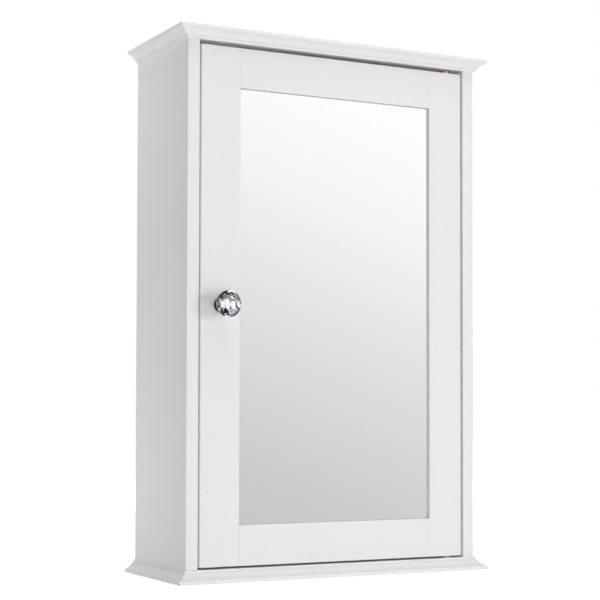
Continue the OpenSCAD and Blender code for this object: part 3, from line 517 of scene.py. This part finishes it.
# Mirror: a pane of 3 mm float glass, silvered and painted behind, with rounded corners and a
# ground and polished arris. It is stuck to the door panel and lies a little back in the frame.
low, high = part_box("mirror_glass")
to_frame = 0.15 * mm
corner_r, arris_width = 4.2 * mm, 0.2 * mm
low -= Vector((to_frame, 0, to_frame))
high += Vector((to_frame, 0, to_frame))
bpy.ops.object.select_all(action="DESELECT")
bpy.ops.mesh.primitive_cube_add(size=1, location=(low + high) / 2, scale=high - low)
pane = bpy.context.object
pane.name = "mirror_pane"
bpy.ops.object.transform_apply(location=True, rotation=True, scale=True)
bpy.ops.object.mode_set(mode="EDIT")
bpy.ops.mesh.select_mode(type="EDGE")
bpy.ops.mesh.select_all(action="DESELECT")
bpy.ops.object.mode_set(mode="OBJECT")
for edge in pane.data.edges:
    a, b = (pane.data.vertices[i].co for i in edge.vertices)
    edge.select = abs(a.y - b.y) > arris_width
bpy.ops.object.mode_set(mode="EDIT")
bpy.ops.mesh.bevel(offset=corner_r, segments=10)
bpy.ops.mesh.select_all(action="DESELECT")
bpy.ops.object.mode_set(mode="OBJECT")
for edge in pane.data.edges:
    a, b = (pane.data.vertices[i].co for i in edge.vertices)
    edge.select = max(a.y, b.y) < low.y + arris_width / 2
bpy.ops.object.mode_set(mode="EDIT")
bpy.ops.mesh.bevel(offset=arris_width, segments=3)
bpy.ops.mesh.select_all(action="DESELECT")
bpy.ops.object.mode_set(mode="OBJECT")
for edge in pane.data.edges:
    a, b = (pane.data.vertices[i].co for i in edge.vertices)
    round_front = max(a.y, b.y) < low.y + arris_width / 20
    round_back = min(a.y, b.y) > high.y - arris_width / 20
    edge.select = round_front or round_back
bpy.ops.object.mode_set(mode="EDIT")
bpy.ops.mesh.mark_sharp()
bpy.ops.object.mode_set(mode="OBJECT")
bpy.ops.object.shade_smooth_by_angle(angle=math.radians(35))

silvered = bpy.data.materials.new("silvered_glass")
silvered.use_nodes = True
nodes, links = silvered.node_tree.nodes, silvered.node_tree.links
shader = nodes["Principled BSDF"]
shader.inputs["Metallic"].default_value = 1
place = nodes.new("ShaderNodeTexCoord")
haze = nodes.new("ShaderNodeTexNoise")
haze.inputs["Scale"].default_value = 14
links.new(place.outputs["Object"], haze.inputs["Vector"])
silver = nodes.new("ShaderNodeMix")
silver.data_type = "RGBA"
silver.inputs[colour_a].default_value = (0.985, 0.99, 0.985, 1)
silver.inputs[colour_b].default_value = (0.995, 0.995, 0.99, 1)
links.new(haze.outputs["Fac"], silver.inputs["Factor"])
links.new(silver.outputs[mixed], shader.inputs["Base Color"])
film = nodes.new("ShaderNodeMapRange")
film.inputs["To Min"].default_value = 0.015
film.inputs["To Max"].default_value = 0.035
links.new(haze.outputs["Fac"], film.inputs["Value"])
links.new(film.outputs["Result"], shader.inputs["Roughness"])
ground_edge = plain_stuff("ground_glass_edge", (0.84, 0.89, 0.86), (0.9, 0.94, 0.92), 0.2,
                          scale=800)
back_paint = plain_stuff("mirror_back_paint", (0.2, 0.21, 0.22), (0.26, 0.27, 0.28), 0.6, scale=90)
for material in (silvered, ground_edge, back_paint):
    pane.data.materials.append(material)
in_front, round_edge, behind = 0, 1, 2
square_on = 0.99
for face in pane.data.polygons:
    face.material_index = round_edge
    if face.normal.y < -square_on:
        face.material_index = in_front
    if face.normal.y > square_on:
        face.material_index = behind
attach(pane, "door")
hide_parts("mirror_glass")


# Knob base: brass turned in one piece and dark chromed, with a foot on the door, a hollow
# waist and a flared cup that grips the crystal. The screw from behind goes up its middle.
def turned(name, place, steps, sides=64):
    """Rings of (radius, distance from the door's face), each drawn out of the one before."""
    bpy.ops.object.select_all(action="DESELECT")
    radius, out = steps[0]
    bpy.ops.mesh.primitive_circle_add(vertices=sides, radius=radius, fill_type="NGON",
                                      location=place + Vector((0, -out, 0)),
                                      rotation=(math.radians(90), 0, 0))
    piece = bpy.context.object
    piece.name = name
    bpy.ops.object.transform_apply(location=True, rotation=True, scale=True)
    bpy.ops.object.mode_set(mode="EDIT")
    bpy.ops.mesh.select_mode(type="FACE")
    bpy.ops.mesh.select_all(action="SELECT")
    for next_radius, next_out in steps[1:]:
        bpy.ops.mesh.extrude_region_move(TRANSFORM_OT_translate={"value": (0, out - next_out, 0)})
        bpy.ops.transform.resize(value=(next_radius / radius, 1, next_radius / radius),
                                 center_override=place + Vector((0, -next_out, 0)))
        radius, out = next_radius, next_out
    bpy.ops.mesh.select_all(action="SELECT")
    bpy.ops.mesh.remove_doubles(threshold=0.001 * mm)
    bpy.ops.mesh.normals_make_consistent(inside=False)
    bpy.ops.object.mode_set(mode="OBJECT")
    bpy.ops.object.shade_smooth_by_angle(angle=math.radians(32))
    return piece


low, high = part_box("knob_base")
knob_at = Vector(((low.x + high.x) / 2, high.y, (low.z + high.z) / 2))
cup_rim = (high.x - low.x) / 2
foot, foot_height, foot_chamfer, foot_round = 7.1 * mm, 1.5 * mm, 0.3 * mm, 0.5 * mm
waist, cup_foot = 4.2 * mm, 8.8 * mm
seat, cup_top, wall = 10.7 * mm, 12.8 * mm, 0.8 * mm
flare_outside, flare_inside = 1.5 * mm, 1.45 * mm
outer_lip_w, outer_lip_h = 0.15 * mm, 0.25 * mm
inner_lip_w, inner_lip_h = 0.1 * mm, 0.2 * mm
seat_middle = 0.5 * mm
screw_bore, bore_end = 2.05 * mm, 7.5 * mm
hollow = foot - waist
foot_cuts, hollow_cuts = 4, 12
base_steps = [(screw_bore, bore_end),
              (screw_bore, 0),
              (foot - foot_chamfer, 0),
              (foot, foot_chamfer)]
for step in range(foot_cuts + 1):
    turn = math.radians(90 * step / foot_cuts)
    base_steps.append((foot - foot_round * (1 - math.cos(turn)),
                       foot_height - foot_round * (1 - math.sin(turn))))
for step in range(1, hollow_cuts + 1):
    turn = math.radians(90 * step / hollow_cuts)
    base_steps.append((foot - hollow * math.sin(turn), foot_height + hollow * (1 - math.cos(turn))))
for step in range(hollow_cuts + 1):
    turn = math.radians(90 * (1 - step / hollow_cuts))
    base_steps.append((foot - hollow * math.sin(turn), cup_foot - hollow * (1 - math.cos(turn))))
base_steps += [(cup_rim - flare_outside, seat),
               (cup_rim, cup_top - outer_lip_h),
               (cup_rim - outer_lip_w, cup_top),
               (cup_rim - wall + inner_lip_w, cup_top),
               (cup_rim - wall, cup_top - inner_lip_h),
               (cup_rim - wall - flare_inside, seat),
               (seat_middle, seat)]
base = turned("knob_turned_base", knob_at, base_steps)
dark_chrome = metal("dark_chrome", (0.14, 0.14, 0.15), 0.04, 0.1, grain=400, relief=0.01)
base.data.materials.append(dark_chrome)
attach(base, "door")
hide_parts("knob_base")

# Crystal: clear glass cut as a brilliant and polished, with a flat table in front, a ring of
# facets up to the girdle and steeper ones behind it, down to the flat that sits in the cup. That
# flat is silvered, so that the light comes back out of the facets.
crystal_r, table_r = 12.75 * mm, 7.0 * mm
table_out, girdle_top, girdle_bottom, seat_out = (d * mm for d in (25.5, 20.0, 19.2, 10.8))
bpy.ops.object.select_all(action="DESELECT")
bpy.ops.mesh.primitive_cylinder_add(vertices=64, radius=crystal_r, depth=table_out - seat_out,
                                    location=knob_at + Vector((0, -(table_out + seat_out) / 2, 0)),
                                    rotation=(math.radians(90), 0, 0))
crystal = bpy.context.object
crystal.name = "knob_cut_crystal"
bpy.ops.object.transform_apply(location=True, rotation=True, scale=True)
crown = math.degrees(math.atan2(table_out - girdle_top, crystal_r - table_r))
pavilion = 55
steeper = 5
star_turn = 22.5
star_r = table_r * math.cos(math.radians(star_turn))
# How far each row is turned, how it leans, and the radius and distance that it passes through.
facet_rows = [(0, crown, table_r, table_out),
              (star_turn, crown / 2, star_r, table_out),
              (0, 180 - pavilion, crystal_r, girdle_bottom)]
for small_turn in (-star_turn / 2, star_turn / 2):
    facet_rows += [(small_turn, crown + steeper, crystal_r, girdle_top),
                   (small_turn, 180 - pavilion - steeper, crystal_r, girdle_bottom)]
bpy.ops.object.mode_set(mode="EDIT")
for eighth in range(8):
    for start, slope, radius, out in facet_rows:
        turn = math.radians(45 * eighth + start)
        lean = math.radians(slope)
        across = Vector((math.cos(turn), 0, math.sin(turn)))
        bpy.ops.mesh.select_all(action="SELECT")
        bpy.ops.mesh.bisect(plane_co=knob_at + radius * across + Vector((0, -out, 0)),
                            plane_no=across * math.sin(lean) + Vector((0, -math.cos(lean), 0)),
                            use_fill=True, clear_outer=True)
bpy.ops.mesh.select_all(action="SELECT")
bpy.ops.mesh.remove_doubles(threshold=0.002 * mm)
bpy.ops.mesh.dissolve_limited(angle_limit=math.radians(0.5))
bpy.ops.mesh.normals_make_consistent(inside=False)
bpy.ops.object.mode_set(mode="OBJECT")
bpy.ops.object.shade_flat()
cut_glass = bpy.data.materials.new("cut_glass")
cut_glass.use_nodes = True
nodes, links = cut_glass.node_tree.nodes, cut_glass.node_tree.links
shader = nodes["Principled BSDF"]
shader.inputs["Transmission Weight"].default_value = 1
shader.inputs["IOR"].default_value = 1.62
shader.inputs["Specular Tint"].default_value = (0.28, 0.28, 0.3, 1)
place = nodes.new("ShaderNodeTexCoord")
wisps = nodes.new("ShaderNodeTexNoise")
wisps.inputs["Scale"].default_value = 120
links.new(place.outputs["Object"], wisps.inputs["Vector"])
clear = nodes.new("ShaderNodeMix")
clear.data_type = "RGBA"
clear.inputs[colour_a].default_value = (0.97, 0.985, 1, 1)
clear.inputs[colour_b].default_value = (1, 1, 1, 1)
links.new(wisps.outputs["Fac"], clear.inputs["Factor"])
links.new(clear.outputs[mixed], shader.inputs["Base Color"])
polish = nodes.new("ShaderNodeMapRange")
polish.inputs["To Max"].default_value = 0.02
links.new(wisps.outputs["Fac"], polish.inputs["Value"])
links.new(polish.outputs["Result"], shader.inputs["Roughness"])
foil = metal("foil", (0.8, 0.8, 0.82), 0.02, 0.04, relief=0.0)
for material in (cut_glass, foil):
    crystal.data.materials.append(material)
cut_face, seat_flat = 0, 1
for face in crystal.data.polygons:
    face.material_index = seat_flat if face.normal.y > square_on else cut_face
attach(crystal, "door")
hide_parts("knob_crystal")

# The scene is brought up to date at the end.
bpy.context.view_layer.update()
